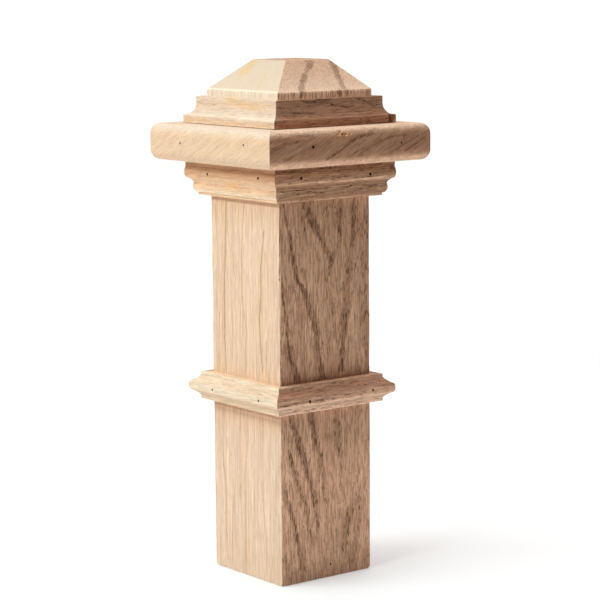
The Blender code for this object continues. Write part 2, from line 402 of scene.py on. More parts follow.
def knock_foot(bm):
    """Blunts the foot's corners. Each knock is a corner, across and along, and how high up it reaches."""
    for across, along, rise in FOOT_KNOCKS:
        corner = Vector((across, along, 0)) * (POST_HALF - FOOT_EASE)
        for share, lean in ((1.0, 1.0), (0.7, 2.2)):
            saw(bm, corner + Vector((0, 0, rise * share)), (across, along, -lean), True)


def wear_arrises(bm):
    """Rubs the shaft's arrises back unevenly, as hand sanding does."""
    inner = POST_HALF - POST_EASE * 0.98
    for vert in bm.verts:
        across, along, height = vert.co
        if abs(across) < inner or abs(along) < inner or not 0.001 < height < COVE_FOOT - 0.001:
            continue
        corner = 10 * math.copysign(1, across) + 20 * math.copysign(1, along)
        rub = noise.noise(Vector((corner, 3.7, height * 38))) + 0.5 * noise.noise(
            Vector((corner, 9.1, height * 140)))
        rub = max(0.0, 0.35 + rub) * ARRIS_WEAR
        toward = Vector((across, along, 0)).normalized()
        vert.co -= toward * rub


class Value:
    """A number, a point or a colour that nodes work out."""

    def __init__(self, tree, socket):
        self.tree = tree
        self.socket = socket

    def step(self, operation, *others, clamp=False):
        """One step of arithmetic."""
        return add_node(self.tree, "ShaderNodeMath", enumerate((self, *others)), operation=operation,
                        use_clamp=clamp).value()

    def __add__(self, other):
        return self.step("ADD", other)

    def __sub__(self, other):
        return self.step("SUBTRACT", other)

    def __mul__(self, other):
        return self.step("MULTIPLY", other)

    def __truediv__(self, other):
        return self.step("DIVIDE", other)

    def level(self, low, high, to_low=0.0, to_high=1.0):
        """Spreads the number from its own range to another, kept inside it."""
        return add_node(self.tree, "ShaderNodeMapRange", {
            "Value": self, "From Min": low, "From Max": high, "To Min": to_low, "To Max": to_high}).value()

    def point_step(self, operation, other=(0, 0, 0), scale=1.0):
        """One step of arithmetic on points."""
        return add_node(self.tree, "ShaderNodeVectorMath", {0: self, 1: other, 3: scale},
                        operation=operation).value()

    def length(self):
        """How far a point is from the origin."""
        return add_node(self.tree, "ShaderNodeVectorMath", {0: self}, operation="LENGTH").value("Value")

    def parts(self, kind="ShaderNodeSeparateXYZ"):
        """The three parts of a point or a colour."""
        return [Value(self.tree, part) for part in add_node(self.tree, kind, {0: self}).node.outputs]


class Node:
    """A shader node, with its outputs as values."""

    def __init__(self, tree, kind):
        self.tree = tree
        self.node = tree.nodes.new(kind)

    def value(self, output=0):
        """One of its outputs."""
        return Value(self.tree, self.node.outputs[output])


def wire(tree, value, socket):
    """Links a value, or sets a plain one. A colour may leave out its fourth part."""
    if isinstance(value, Value):
        tree.links.new(value.socket, socket)
    elif socket.type == "RGBA":
        socket.default_value = (*value[:3], 1.0)
    else:
        socket.default_value = value


def add_node(tree, kind, values=(), **settings):
    """Adds a node with its settings and the values of its inputs."""
    made = Node(tree, kind)
    for setting, value in settings.items():
        setattr(made.node, setting, value)
    for key, value in dict(values).items():
        wire(tree, value, made.node.inputs[key])
    return made


def new_material(name):
    """A new material, its nodes and its shader."""
    material = bpy.data.materials.new(name)
    material.use_nodes = True
    tree = material.node_tree
    return material, tree, tree.nodes["Principled BSDF"]


def point_and_normal(tree):
    """The point of the object that is shaded, and the way that its face looks."""
    coordinates = add_node(tree, "ShaderNodeTexCoord")
    return coordinates.value("Object"), coordinates.value("Normal")


def figure(tree, place, stretch, detail=2.0, roughness=0.5, shift=(0, 0, 0), output=0):
    """Soft random figure, stretched along the grain."""
    stretched = add_node(tree, "ShaderNodeMapping", {"Vector": place, "Scale": stretch, "Location": shift})
    return add_node(tree, "ShaderNodeTexNoise", {"Vector": stretched.value(), "Scale": 1.0, "Detail": detail,
                                                 "Roughness": roughness}).value(output)


def drift(tree, place, stretch, detail, reach):
    """A soft random push, up to half the reach each way."""
    push = figure(tree, place, stretch, detail, output=1)
    return push.point_step("SUBTRACT", (0.5, 0.5, 0.5)).point_step("SCALE", scale=reach)


def pore_marks(tree, place, stretch, size, edge):
    """Open pores: short dark strokes along the grain, as large as size lets them be."""
    stretched = add_node(tree, "ShaderNodeMapping", {"Vector": place, "Scale": stretch})
    cells = add_node(tree, "ShaderNodeTexVoronoi", {"Vector": stretched.value(), "Scale": 1.0}, feature="F1")
    lot = cells.value("Color").parts("ShaderNodeSeparateColor")[0]
    size = size * lot.level(0.1, 0.9, 0.45, 1.15)
    return add_node(tree, "ShaderNodeMapRange", {
        "Value": cells.value("Distance"), "From Min": size, "From Max": size - edge, "To Min": 0.0,
        "To Max": 1.0}, interpolation_type="SMOOTHSTEP").value()


def blend(tree, share, first, second, how="MIX"):
    """Blends two colours."""
    return add_node(tree, "ShaderNodeMix", data_type="RGBA", blend_type=how,
                    values={0: share, 6: first, 7: second}).value(2)


def ramp(tree, value, stops):
    """A run of greys or colours along a value."""
    made = add_node(tree, "ShaderNodeValToRGB", {0: value})
    elements = made.node.color_ramp.elements
    while len(elements) < len(stops):
        elements.new(0.5)
    for element, (position, colour) in zip(elements, stops):
        element.position = position
        element.color = (*colour, 1.0)
    return made.value()


def grey(value):
    """A grey of that brightness."""
    return (value, value, value)


def painted_light_at(tree, height, painted_light_and_tint):
    """The painted light and shade, with some of the wood's own tint, at a height: from how light and how warm
    it is at heights in millimetres.
    """
    low, high = painted_light_and_tint[0][0], painted_light_and_tint[-1][0]
    stops = [((stop - low) / (high - low), (light, light * (1 - warm), light * (1 - 1.8 * warm)))
             for stop, light, warm in painted_light_and_tint]
    return ramp(tree, height.level(low * MM, high * MM), stops)


def oak_grain_group():
    """Red oak as a solid: rings about the pith, with open pores where each ring starts.

    Place is a point in millimetres with the grain along Z and the pith through the origin.
    """
    group = bpy.data.node_groups.new("oak_grain", "ShaderNodeTree")
    face = group.interface
    for name, kind, value in (("Place", "Vector", None), ("Lean", "Vector", None), ("Bow", "Vector", None),
                              ("Ring Width", "Float", 3.4), ("Ring Start", "Float", 0.0),
                              ("Wander", "Float", 5.0), ("Banding", "Float", 1.0), ("Pores", "Float", 1.0),
                              ("Figure", "Float", 0.0), ("Ochre", "Float", 0.0), ("Streaks", "Float", 1.0),
                              ("Tone and Painted Light", "Color", (1, 1, 1, 1))):
        socket = face.new_socket(name=name, in_out="INPUT", socket_type="NodeSocket" + kind)
        if value is not None:
            socket.default_value = value
    for name, kind in (("Colour", "Color"), ("Roughness", "Float"), ("Height", "Float")):
        face.new_socket(name=name, in_out="OUTPUT", socket_type="NodeSocket" + kind)
    given = {socket.name: Value(group, socket) for socket in group.nodes.new("NodeGroupInput").outputs}
    place = given["Place"]

    run = place.parts()[2] / BOW_SPAN
    leaning = given["Lean"].point_step("SCALE", scale=run)
    bowed = given["Bow"].point_step("SCALE", scale=run * run)
    broad = drift(group, place, (0.020, 0.020, 0.006), 1.0, given["Wander"])
    small = drift(group, place, (0.10, 0.10, 0.012), 2.0, 2.2)
    wandering = place.point_step("SUBTRACT", leaning).point_step("SUBTRACT", bowed)
    wandering = wandering.point_step("ADD", broad).point_step("ADD", small)
    from_pith = wandering.point_step("MULTIPLY", (1, 1, 0)).length()
    rings = from_pith / given["Ring Width"] + given["Ring Start"]
    lot = add_node(group, "ShaderNodeTexWhiteNoise", {"W": rings.step("FLOOR")},
                   noise_dimensions="1D").value("Value").level(0.0, 1.0, 0.6, 1.0)

    early = ramp(group, rings.step("FRACT"), [
        (0.0, grey(0.8)), (0.08, grey(1.0)), (0.32, grey(0.75)), (0.52, grey(0.25)), (0.80, grey(0.03)),
        (0.93, grey(0.0)), (1.0, grey(0.8))])
    broken = figure(group, place, (0.30, 0.30, 0.022)).level(0.36, 0.58, 0.40, 1.0)
    drawn = given["Figure"] * (broken * 0.45 + 0.55)
    early = (early * lot * given["Banding"] * broken).step("MAXIMUM", drawn)

    fine = pore_marks(group, place, (1.7, 1.7, 0.16), early * 0.30 + 0.22, 0.12)
    coarse = pore_marks(group, place, (0.90, 0.90, 0.17), early * 0.50 + 0.22, 0.16)
    pores = (fine * 0.7).step("MAXIMUM", coarse).step("MULTIPLY", given["Pores"], clamp=True)
    fleck = figure(group, place, (0.95, 0.95, 0.10), 2.0, 0.6, (3, 11, 17)).level(
        0.46, 0.64, 0.0, given["Pores"].step("MULTIPLY", 0.85, clamp=True))

    fibre = figure(group, place, (1.5, 1.5, 0.07), 2.0, 0.6)
    streak = figure(group, place, (0.8, 0.8, 0.026), 3.0, 0.7)
    soft = figure(group, place, (0.14, 0.14, 0.0035))
    cast = figure(group, place, (0.045, 0.045, 0.010), shift=(31, 7, 2))
    blush = figure(group, place, (0.060, 0.060, 0.014), shift=(5, 47, 9))

    body = fibre * 0.30 + streak * 0.45 + soft * 0.14
    body = (body - MIDDLE_BODY) * given["Streaks"] + MIDDLE_BODY
    colour = ramp(group, body.level(0.34, 0.55), [
        (0.0, (0.44, 0.260, 0.165)), (0.5, (0.66, 0.425, 0.285)), (1.0, (0.82, 0.565, 0.395))])
    for share, tint in ((cast.level(0.48, 0.68, 0.0, 0.16), (0.62, 0.435, 0.255)),
                        (blush.level(0.50, 0.70, 0.0, 0.2), (0.74, 0.41, 0.285)),
                        (given["Ochre"], (0.68, 0.395, 0.18)),
                        (early.step("MULTIPLY", 0.85, clamp=True), (0.30, 0.165, 0.095)),
                        (fleck, (0.36, 0.20, 0.12)),
                        (pores * 0.85, (0.12, 0.062, 0.036))):
        colour = blend(group, share, colour, tint)

    result = group.nodes.new("NodeGroupOutput")
    for name, value in (("Colour", blend(group, 1.0, colour, given["Tone and Painted Light"], "MULTIPLY")),
                        ("Roughness", pores * 0.18 + fibre * 0.10 + 0.60),
                        ("Height", fibre * 0.45 - pores - early * 0.3)):
        wire(group, value, result.inputs[name])
    return group


GRAIN = oak_grain_group()


def oak_finish(name, pith, turn=(0, 0, 0), facing_tones_and_light=((1, 1, 1),) * 3, lean=(0, 0, 0), bow=(0, 0, 0),
               ring_width=3.4, ring_start=0.0, wander=5.0, banding=1.0, pores=1.0, streaks=1.0, stains=(),
               painted_light_and_tint=()):
    """Bare sanded oak sawn about its own pith, a point in metres that turn points along the grain.

    The tones are for upright faces, faces that look up and faces that look down: the board's own tone, with
    painted light and shade on faces that look up or down. A stain is a soft ochre patch: its middle, its
    reach each way and its strength. The painted light and tint change the tone with the height: painted light
    and shade, with some of the board's own tint.
    """
    material, tree, shader = new_material(name)
    point, normal = point_and_normal(tree)
    turned = Euler([math.radians(angle) for angle in turn])
    placed = add_node(tree, "ShaderNodeMapping", {"Vector": point, "Location": pith, "Rotation": turned,
                                                  "Scale": (MM, MM, MM)}, vector_type="TEXTURE")
    facing_z = normal.parts()[2]
    grain_way = turned.to_matrix() @ Vector((0, 0, 1))
    across = add_node(tree, "ShaderNodeVectorMath", {0: normal, 1: grain_way},
                      operation="DOT_PRODUCT").value("Value")
    # Painted light and shade: faces that look up and faces that look down take tones of their own
    tone_and_painted_light = blend(tree, facing_z.level(0.15, 0.75), facing_tones_and_light[0], facing_tones_and_light[1])
    tone_and_painted_light = blend(tree, facing_z.level(-0.15, -0.75), tone_and_painted_light, facing_tones_and_light[2])
    tone_and_painted_light = blend(tree, across.step("ABSOLUTE").level(0.3, 1.0), tone_and_painted_light, grey(0.8), "MULTIPLY")
    # Painted light and shade up the height, with some of the board's own tint
    if painted_light_and_tint:
        tone_and_painted_light = blend(tree, 1.0, tone_and_painted_light, painted_light_at(tree, point.parts()[2], painted_light_and_tint), "MULTIPLY")
    ochre = 0.0
    for middle, reach, strength in stains:
        away = point.point_step("SUBTRACT", [MM * part for part in middle])
        away = away.point_step("DIVIDE", [MM * part for part in reach]).length()
        ochre = away.level(1.0, 0.1, 0.0, strength).step("MAXIMUM", ochre)
    grain = add_node(tree, "ShaderNodeGroup", node_tree=GRAIN, name="grain")
    for key, value in (("Place", placed.value()), ("Lean", lean), ("Bow", bow), ("Ring Width", ring_width),
                       ("Ring Start", ring_start), ("Wander", wander), ("Banding", banding),
                       ("Pores", pores), ("Tone and Painted Light", tone_and_painted_light), ("Streaks", streaks), ("Ochre", ochre)):
        wire(tree, value, grain.node.inputs[key])
    raised = add_node(tree, "ShaderNodeBump", {"Strength": 0.45 * streaks, "Distance": 0.0003,
                                               "Height": grain.value("Height")})
    wire(tree, grain.value("Colour"), shader.inputs["Base Color"])
    wire(tree, grain.value("Roughness"), shader.inputs["Roughness"])
    wire(tree, raised.value(), shader.inputs["Normal"])
    shader.inputs["Specular IOR Level"].default_value = 0.3
    material.diffuse_color = (0.62, 0.44, 0.30, 1)
    return material


# Dark figure on the timber's front, then ochre streaks on its left, as seen. Each point of a line is its
# height, its place across the face and its width, in millimetres, and how strong the line is there
FRONT_FIGURE = (
    ((298, -40, 1.5, 0.9), (277, -35.5, 2, 1), (261, -32.5, 3, 1), (249, -30, 3, 1), (240, -28, 4, 1),
     (230, -22, 5.5, 1), (222, -18, 5.5, 1), (213, -14, 5, 0.9), (204, -11.5, 4, 0.9), (193, -9, 4, 0.9),
     (183, -8, 3.5, 0.9), (172, -6, 4.5, 0.9), (159, -3.5, 5, 1)),
    ((241, -43.5, 1.5, 0.6), (224, -41.5, 2.5, 0.9), (210, -39, 3, 0.9), (196, -37.5, 3.5, 0.9),
     (180, -35, 4.5, 0.9), (170, -32, 5.5, 1), (160, -28, 6, 1)),
    ((298, -20, 7, 0.9), (291, -17, 7, 0.9), (282, -13, 9, 0.9), (274, -6.5, 7, 0.8), (264, -1.5, 5, 0.8),
     (257, 2.5, 5, 0.8), (248, 6, 4, 0.5)),
    ((288, -21, 3, 0.5), (274, -20, 3, 0.7), (265, -17.5, 3, 0.4)),
    ((297, 15, 5, 0.9), (289, 14.5, 5, 0.9), (277, 14.5, 5, 0.9), (268, 15.5, 4, 0.8), (260, 12, 4, 0.6),
     (252, 6, 6, 0.8), (241, 2.5, 4, 0.5), (234, 1, 3, 0.4)),
    ((296, 27.5, 4.5, 0.9), (287, 27.5, 4.5, 0.9), (278, 28.5, 4.5, 0.9), (266, 28.5, 3.5, 0.7),
     (255, 25.5, 6, 0.5), (245, 23, 8, 0.6), (232, 21, 8, 0.6), (218, 20.5, 7, 0.6), (209, 18.5, 6, 0.7),
     (197, 18, 5, 0.9), (186, 17, 4.5, 0.9), (172, 15.5, 4.5, 0.9), (164, 15, 4.5, 1)),
    ((291, 40, 4, 0.3), (281, 41.5, 6, 0.5), (249, 40, 8, 0.55), (221, 38.5, 8, 0.5), (202, 38.5, 6, 0.6),
     (183, 40, 5, 0.6), (164, 42, 4, 0.6)),
    ((217, 7.5, 3, 0.6), (209, 7, 4, 0.8), (204, 6, 2, 0.6)),
    ((132, -34.5, 5.5, 1), (121, -31, 5.5, 1), (108, -26.5, 5.5, 1), (95, -22, 5, 0.9), (84, -18, 5, 0.85),
     (69, -13.5, 4.5, 0.8), (56, -11, 4, 0.7), (43, -10, 3, 0.6), (32, -9, 2, 0.4)),
    ((133, -16.5, 6, 1), (123, -14.5, 6, 1), (111, -11, 5, 0.9), (99, -7, 4, 0.8), (87, -4.5, 3.5, 0.75),
     (72, -2.5, 3, 0.7), (59, -0.5, 2.5, 0.5)),
    ((106, -37, 3, 0.8), (96, -34, 4, 0.9), (85, -31.5, 4, 0.6), (73, -27.5, 4, 0.6),
     (64, -22, 4, 0.7), (51, -19, 4, 0.6), (39, -17.5, 3.5, 0.5), (24, -15.5, 3, 0.4)),
    ((81, -43.5, 3, 0.7), (70, -40.5, 3.5, 0.8), (58, -35.5, 4.5, 0.9), (46, -33, 4, 0.7),
     (34, -30, 4.5, 0.85), (24, -27.5, 4.5, 0.8), (10, -24.5, 4.5, 0.7)),
    ((24, -42.5, 2.5, 0.5), (13, -40, 3, 0.6), (4, -37.5, 3, 0.6)),
    ((133, 9, 6, 0.5), (120, 10.5, 7, 0.6), (104, 12, 7, 0.6), (92, 15, 6, 0.6), (79, 15, 5, 0.4)),
    ((64, 28, 5, 0.4), (52, 25, 8, 0.6), (43, 21.5, 8, 0.75), (33, 18.5, 7, 0.7), (23, 17.5, 6, 0.5),
     (13, 18.5, 5, 0.4)),
    ((290, 33, 16, 0.3), (240, 33, 16, 0.35), (215, 33, 12, 0.25)),
    # This broad band just under the bed moulding is partly figure and partly painted shade
    ((299, -5, 60, 0.4), (285, 0, 60, 0.25), (270, 0, 60, 0.1)),
    ((71, 34, 4, 0.3), (46, 31.5, 5, 0.5), (31, 30, 5, 0.5), (21, 28.5, 6, 0.6), (8, 23.5, 6, 0.6)),
    ((403, 3, 6, 0.9), (398, -4, 5, 0.9), (391, -13.5, 4.5, 0.9), (384, -21, 5, 0.9), (378, -24, 4, 0.9)),
    ((402, 23.5, 5, 0.9), (394, 21, 5, 0.9), (387, 19.5, 4.5, 0.9), (383, 19, 5, 0.9)),
    ((381, 12.5, 4, 0.9), (378, 14, 3.5, 0.9)), ((381, 20, 2.5, 0.9), (378, 20.5, 2.5, 0.9)),
    ((381, -44.5, 2, 0.7), (378, -44, 2, 0.7)),
)
LEFT_STREAKS = (
    ((298, 26, 5, 0.5), (268, 26.5, 5, 0.55), (212, 28, 4.5, 0.5), (164, 29, 4.5, 0.5)),
    ((298, 6, 4, 0.3), (259, 4, 3, 0.3), (196, -1.5, 3, 0.4), (160, -3, 4, 0.3)),
    ((263, -21.5, 4, 0.4), (225, -21, 7, 0.6), (190, -20, 6, 0.5), (160, -22, 6, 0.6)),
    ((133, 30, 3, 0.5), (110, 30.5, 3, 0.4), (60, 30, 3, 0.5), (10, 29, 3, 0.4)),
    ((120, 7, 5, 0.3), (94, 6.5, 5, 0.4), (54, 2.5, 4, 0.5), (8, 1.5, 5, 0.5)),
    ((133, -7, 4, 0.3), (86, -6.5, 3, 0.4), (40, -8, 3, 0.4)),
    ((130, -19, 5, 0.6), (98, -20, 3, 0.4), (58, -19, 4, 0.5), (49, -22, 4, 0.4), (10, -26.5, 4, 0.5)),
    ((403, 16, 8, 0.9), (395, 17, 9, 0.8), (391, 17, 4, 0.2)),
    ((393, -13.5, 3, 0.5), (383, -17.5, 3, 0.6)),
)

# Thin brown lines on the left face: each one's width and strength, then its heights and places
LEFT_LINES = (
    (1.6, 0.8, (294, 24), (250, 26), (231, 27.5), (187, 28), (160, 26.5)),
    (1.2, 0.5, (294, 15.5), (244, 15.5), (235, 12.5)),
    (1.2, 0.6, (294, 0.5), (254, 4.5), (217, 4), (194, -1.5), (182, 0), (163, 0.5)),
    (1.2, 0.4, (297, -18), (279, -25)),
    (1.6, 0.8, (276, -25), (247, -20.5), (227, -20.5), (205, -18), (166, -21)),
    (1.2, 0.6, (190, -26.5), (164, -26.5)),
    (1.0, 0.4, (236, 33.5), (163, 36)),
    (1.6, 0.5, (128, 31.5), (87, 32), (62, 28), (38, 29.5), (8, 27)),
    (1.4, 0.45, (131, 8.5), (110, 9.5), (61, 10)),
    (1.3, 0.45, (130, -0.5), (102, 0), (78, 3), (9, 2.5)),
    (1.3, 0.35, (130, -9.5), (74, -9), (10, -6.5)),
    (1.4, 0.45, (129, -20.5), (57, -20.5), (33, -24), (6, -24)),
    (1.0, 0.4, (126, -31.5), (39, -29.5), (11, -32)),
    (1.3, 0.5, (60, 19), (6, 22)),
)

# Painted light and shade up the timber's front and its left, with some of its own tint, against its own tone:
# height in millimetres, light, warmth
FRONT_PAINTED_LIGHT_AND_TINT = (
    (0, 0.70, 0.03), (14, 0.93, 0.01), (40, 1.04, 0.01), (88, 1.12, 0), (106, 0.95, 0.02), (134, 0.85, 0),
    (158, 0.58, 0.15), (163, 0.72, 0.06), (172, 0.92, 0.02), (230, 0.98, 0.01), (299, 0.90, 0.02),
    (376, 1.38, -0.04), (380, 1.00, 0), (382, 1.24, -0.06), (384, 1.05, -0.06), (392, 0.92, -0.01),
    (402, 0.87, 0.05),
)
LEFT_PAINTED_LIGHT_AND_TINT = (
    (0, 0.96, -0.04), (110, 1.01, -0.05), (122, 1.00, 0.01), (126, 0.90, 0.05), (129.5, 0.68, 0.12),
    (132, 0.92, 0.07), (134, 1.30, 0.02), (159, 1.08, 0.03), (170, 1.01, -0.02), (230, 1.05, -0.03),
    (275, 1.11, -0.03), (294, 1.00, 0.05), (298, 1.18, 0.05), (376, 1.24, -0.11), (382, 1.32, -0.11),
    (382.8, 0.97, -0.06), (404, 0.89, -0.09),
)


def figure_lines(tree, across, height, lines):
    """How strongly the nearest line of the figure shows at a place across a face and a height up it."""
    found = 0.0
    for line in lines:
        stops = sorted(line)
        foot, top = stops[0], stops[-1]
        stops = [(foot[0] - LINE_FADE, *foot[1:3], 0), *stops, (top[0] + LINE_FADE, *top[1:3], 0)]
        here = ramp(tree, height / LINE_SPAN, [(stop / LINE_SPAN, (0.5 + place / 100, width / 10, strong))
                                               for stop, place, width, strong in stops])
        place, width, strong = here.parts("ShaderNodeSeparateColor")
        off = (across - (place * 100.0 - 50.0)).step("ABSOLUTE")
        found = (strong * (off / (width * 6.5 + 0.01)).level(1.25, 0.55)).step("MAXIMUM", found)
    return found


def plain_lines(lines):
    """Lines of one width and strength each, as figure_lines takes them."""
    return [[(stop, place, width, strong) for stop, place in points] for width, strong, *points in lines]


def post_finish():
    """The timber's oak, with the flame figure seen on its front and the quiet lines on its left."""
    material = oak_finish("post_oak", (0.00316, 0.05899, 0.150), ring_start=9.6882, wander=3.0)
    tree = material.node_tree
    point, normal = point_and_normal(tree)
    across, along, height = point.parts()
    facing_x, facing_y, facing_z = normal.parts()
    front = (facing_y + facing_x.step("ABSOLUTE")).level(-0.1, -0.5)
    left = (facing_x + facing_y.step("ABSOLUTE")).level(-0.1, -0.5)
    slope = facing_z.level(0.3, 0.6) * facing_z.level(0.95, 0.9)
    head = height.level(COVE_TOP - 0.001, COVE_TOP)

    sway = figure(tree, point, (160, 160, 45)) * 5.0 - 6.0
    sway = figure(tree, point, (650, 650, 85), 2.0, 0.6, (8, 2, 5)) * 7.0 + sway
    across, along, height_mm = across * 1000.0, along * 1000.0, height * 1000.0
    flame = figure_lines(tree, across + sway, height_mm, FRONT_FIGURE) * front
    thin = figure_lines(tree, along + sway * 0.12, height_mm, plain_lines(LEFT_LINES)) * (left * 0.9)
    ochre = figure_lines(tree, along + sway, height_mm, LEFT_STREAKS) * (left * (head * 0.6 + 0.5))

    # Painted light and shade: the head's reveal and slopes lighter, its front slope lighter again, the front
    # and the left toned for the light on each, and both shaded up their height with some of the timber's own
    # tint
    tone_and_painted_light = blend(tree, head, (1.08, 1.00, 0.955), (1.60, 1.68, 1.75))
    tone_and_painted_light = blend(tree, front, (1, 1, 1), tone_and_painted_light)
    tone_and_painted_light = blend(tree, front * slope, tone_and_painted_light, (1.18, 1.21, 1.23))
    tone_and_painted_light = blend(tree, front, tone_and_painted_light, painted_light_at(tree, height, FRONT_PAINTED_LIGHT_AND_TINT), "MULTIPLY")
    tone_and_painted_light = blend(tree, left, tone_and_painted_light, blend(tree, head, (1.05, 1.09, 1.10), (0.90, 1.02, 1.06)))
    tone_and_painted_light = blend(tree, left, tone_and_painted_light, painted_light_at(tree, height, LEFT_PAINTED_LIGHT_AND_TINT), "MULTIPLY")
    sockets = tree.nodes["grain"].inputs
    sawn = Value(tree, sockets["Tone and Painted Light"].links[0].from_socket)
    for name, value in (("Figure", flame + thin),
                        ("Ochre", ochre),
                        ("Banding", (front * -0.75 + left * -0.72 + 1.0) * (slope * -0.8 + 1.0)),
                        ("Pores", (left * -0.8 + 1.1) * (slope * -0.55 + 1.0)),
                        ("Streaks", (left * -0.4 + 1.0) * (slope * -0.45 + 1.0)
                         * (head * left * -0.55 + 1.0)),
                        ("Tone and Painted Light", blend(tree, 1.0, sawn, tone_and_painted_light, "MULTIPLY"))):
        wire(tree, value, sockets[name])
    return material


def bared_finish(name, stretch, detail, patchy, stops, rough):
    """What a cut bares, in patches of more than one colour."""
    material, tree, shader = new_material(name)
    patches = figure(tree, point_and_normal(tree)[0], stretch, detail, patchy)
    wire(tree, ramp(tree, patches, stops), shader.inputs["Base Color"])
    shader.inputs["Roughness"].default_value = rough
    return material


# The inside of a sunk nail's hole, painted dark for its shade and its dark nail head, and freshly torn oak
# with pale splinters over rusty brown
HOLE_SHADE = bared_finish("nail_hole", (1500, 1500, 1500), 2.0, 0.5,
                    [(0.3, (0.04, 0.014, 0.008)), (0.7, (0.09, 0.036, 0.02))], 0.9)
TORN = bared_finish("torn_oak", (420, 420, 900), 3.0, 0.6,
                    [(0.36, (0.26, 0.10, 0.04)), (0.46, (0.66, 0.34, 0.16)),
                     (0.58, (0.86, 0.56, 0.34))], 0.85)
BARES_HOLE_SHADE, BARES_TORN = 1, 2


def settle(piece, slot, *nodes):
    """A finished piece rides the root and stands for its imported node."""
    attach(piece, "root")
    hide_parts(*nodes)


def make_post():
    """The timber itself, with a pit low on its front and a splinter gone from its near arris."""
    piece = add_piece("oak_post", post_mesh(), [post_finish(), HOLE_SHADE, TORN])
    # The pit low on the front is painted dark inside, as shade
    cut_away(piece, [torn_pit((0.0034, -POST_HALF, 0.0098), (0.0008, 0.0007, 0.0009), 4)], BARES_HOLE_SHADE)
    cut_away(piece, [torn_pit((-POST_HALF, -POST_HALF, 0.2405), (0.0012, 0.0011, 0.0034), 6)], BARES_TORN)
    shade_rounds(piece)
    settle(piece, "post_oak", "post")


# Sunk nails by run and side: place along the length, height, size against the usual radius, and how far
# behind the nose, in millimetres
NAILS = {
    "band": {"front": [(-27.1, 146.0, 1.2, 0), (35.4, 147.4, 1.0, 0)],
             "left": [(-26.1, 146.9, 0.9, 0), (34.6, 147.0, 0.9, 0)],
             "right": [(-29.0, 147.1, 1.0, 0), (33.2, 146.4, 0.9, 0)],
             "back": [(-25.4, 146.5, 1.0, 0), (36.8, 146.9, 1.0, 0)]},
    "bed": {"front": [(-34.4, 317.9, 1.3, 0), (33.1, 317.2, 1.15, 0), (17.7, 308.9, 0.85, 3.5)],
            "left": [(-27.9, 317.2, 1.2, 0), (38.1, 318.1, 1.2, 0)],
            "right": [(-32.5, 317.5, 1.0, 0), (30.9, 318.0, 0.9, 0)],
            "back": [(-36.2, 317.1, 1.0, 0), (29.4, 317.8, 1.0, 0)]},
    "collar": {"front": [(-37.3, 342.8, 1.25, 0), (48.4, 341.7, 0.85, 0)],
               "left": [(-37.0, 341.7, 0.85, 0), (45.7, 344.5, 0.85, 0)],
               "right": [(-44.1, 342.2, 1.0, 0), (40.3, 342.9, 0.9, 0)],
               "back": [(-39.6, 341.4, 0.9, 0), (46.2, 343.1, 1.0, 0)]},
    "cove": {"front": [(23.8, 359.7, 0.45, 1.6)],
             "left": [(10.8, 356.9, 0.4, 1.6), (33.2, 356.2, 0.4, 1.6)]},
}

# Rough spots by length, and what they bare: the chip in the collar's upper round, with splits inside it
# painted dark as shade, and a pit under the collar painted dark as shade. Each is its place along the length,
# how far behind the nose, its height, its reach along, in and up, in millimetres, and its seed
TORN_SPOTS = {
    "collar_front": [
        (BARES_TORN, ((-8.2, 0.5, 351.0, 6.6, 0.8, 1.6, 6.6), (-11.6, 1.2, 352.8, 3.4, 0.8, 1.9, 3.4),
                      (-3.0, 0.4, 350.5, 3.0, 0.8, 1.1, 3.0), (-0.6, 0.6, 351.6, 2.0, 0.8, 0.8, 2.0))),
        (BARES_HOLE_SHADE, ((-10.7, 1.9, 353.2, 0.8, 0.7, 0.35, -10.7), (-11.2, 1.3, 351.9, 0.4, 0.7, 0.6, -11.2),
                      (-9.2, 0.9, 350.3, 1.0, 0.7, 0.25, -9.2), (-5.6, 1.2, 351.2, 0.9, 0.7, 0.25, -5.6),
                      (-3.1, 1.0, 350.0, 0.5, 0.7, 0.25, -3.1)))],
    "bed_front": [(BARES_HOLE_SHADE, ((-5.9, (BED_SWELL_REACH - BED_TOP_REACH) / MM, 324.2, 1.3, 0.9, 0.7, 2),))],
}


def make_run(run, section, half, foot, slot, reach, finishes):
    """Four mitred lengths round the post."""
    nose = half + reach
    for side, degrees in SIDES:
        name = f"{run}_{side}"
        piece = add_piece(f"oak_{name}", mitred_length(name, section, half, foot),
                          [finishes[side], HOLE_SHADE, TORN])
        for bared, spots in TORN_SPOTS.get(name, ()):
            cut_away(piece, [torn_pit((place * MM, back * MM - nose, height * MM),
                                      (wide * MM, deep * MM, high * MM), seed)
                             for place, back, height, wide, deep, high, seed in spots], bared)
        if name == "cove_front":
            cut_away(piece, [lost_tip()], BARES_TORN)
        cut_away(piece, [nail_hole(place * MM, nose, height * MM, size, back * MM)
                         for place, height, size, back in NAILS[run].get(side, ())], BARES_HOLE_SHADE)
        piece.data.transform(Matrix.Rotation(math.radians(degrees), 4, "Z"))
        shade_rounds(piece)
        settle(piece, slot, name)


